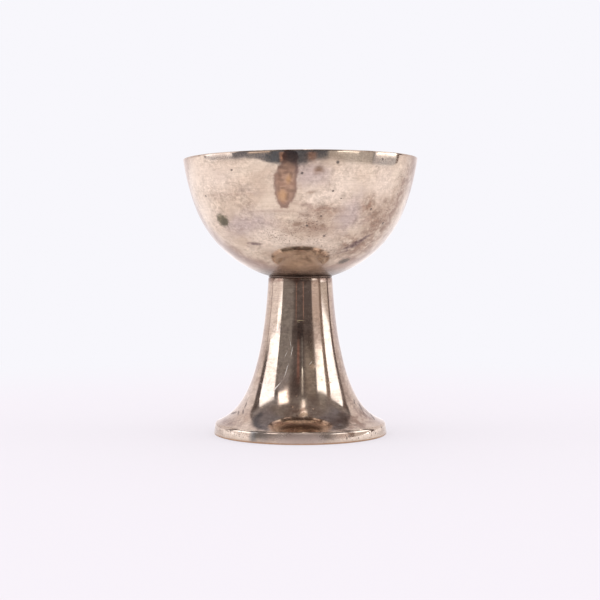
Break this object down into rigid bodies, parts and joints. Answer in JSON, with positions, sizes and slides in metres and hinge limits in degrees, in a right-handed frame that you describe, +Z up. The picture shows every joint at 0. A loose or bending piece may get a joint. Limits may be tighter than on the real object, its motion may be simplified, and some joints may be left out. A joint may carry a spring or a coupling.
{
  "type": "communion chalice",
  "caption": "Small silver-plated communion chalice: deep spun bowl that unscrews from a trumpet stem and banded round foot.",
  "frame": {"origin": "on the table, at the middle of the foot's standing ring", "axes": "+Z up the chalice's axis, towards the rim; +X and +Y are free because the chalice is round"},
  "size_m": [0.08, 0.08, 0.0941],
  "materials": {
    "silver_plate": "silver plate over nickel silver, polished, tarnished and worn",
    "brass": "turned brass, dull",
    "leather": "pressed sealing leather"
  },
  "bodies": {
    "foot": {"stem": "silver_plate", "foot_band": "silver_plate", "neck_plate": "brass", "neck_nut": "brass"},
    "washer": {"neck_washer": "leather"},
    "cup": {"cup": "silver_plate", "neck_ring": "silver_plate", "cup_boss": "brass", "cup_stud": "brass"}
  },
  "joints": [
    {"name": "cup_rise", "type": "slide", "parent": "foot", "child": "washer", "axis": [0, 0, 1], "range_m": [0, 0.005]},
    {"name": "cup_turn", "type": "hinge", "parent": "washer", "child": "cup", "pos_m": [0, 0, 0.05], "axis": [0, 0, 1], "range_deg": [0, 1440]}
  ],
  "couplings": [
    {"joint": "cup_rise", "follows": "cup_turn", "m_per_rad": 0.00019894}
  ]
}
